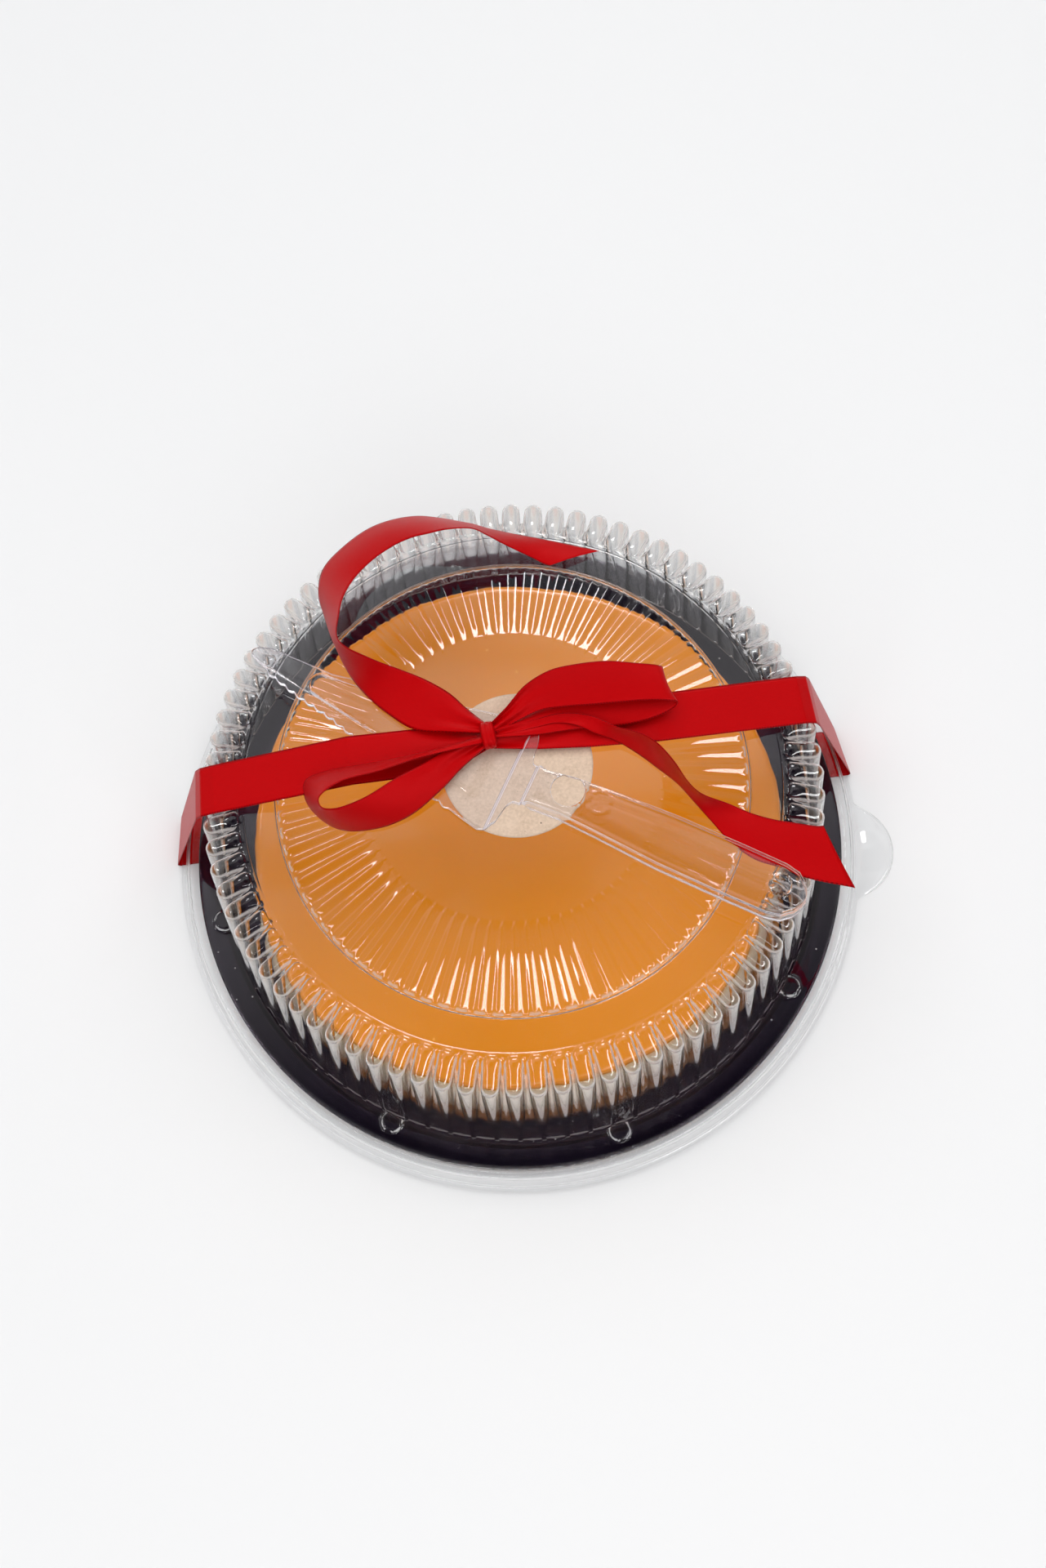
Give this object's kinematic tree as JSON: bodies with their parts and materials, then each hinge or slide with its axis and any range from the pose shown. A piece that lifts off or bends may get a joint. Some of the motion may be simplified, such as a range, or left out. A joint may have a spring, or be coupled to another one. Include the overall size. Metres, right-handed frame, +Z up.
{
  "type": "leche flan in a ribbon-tied dome pack",
  "caption": "Round baked custard with a caramel top in a black-based clear fluted dome pack, with paper label, clear cake server and a red satin ribbon bow.",
  "frame": {"origin": "centre of the whole pack's footprint, on the surface it stands on", "axes": "+Z up out of the lid, +X to the right along the ribbon towards the thumb tab, +Y to the back"},
  "size_m": [0.3264, 0.3098, 0.1293],
  "materials": {
    "base_plastic": "gloss black thermoformed plastic",
    "custard": "soft moist baked custard, stands in for food",
    "caramel": "wet amber caramel, stands in for food",
    "clear_lid": "clear thermoformed plastic",
    "label_paper": "matt speckled kraft paper",
    "clear_server": "clear moulded plastic",
    "satin": "single-face satin ribbon with woven edges"
  },
  "bodies": {
    "root": {"base": "base_plastic", "custard": "custard", "caramel": "caramel", "lid_dome": "clear_lid", "lid_flange": "clear_lid", "label": "label_paper", "cake_server": "clear_server", "ribbon": "satin"}
  },
  "joints": []
}
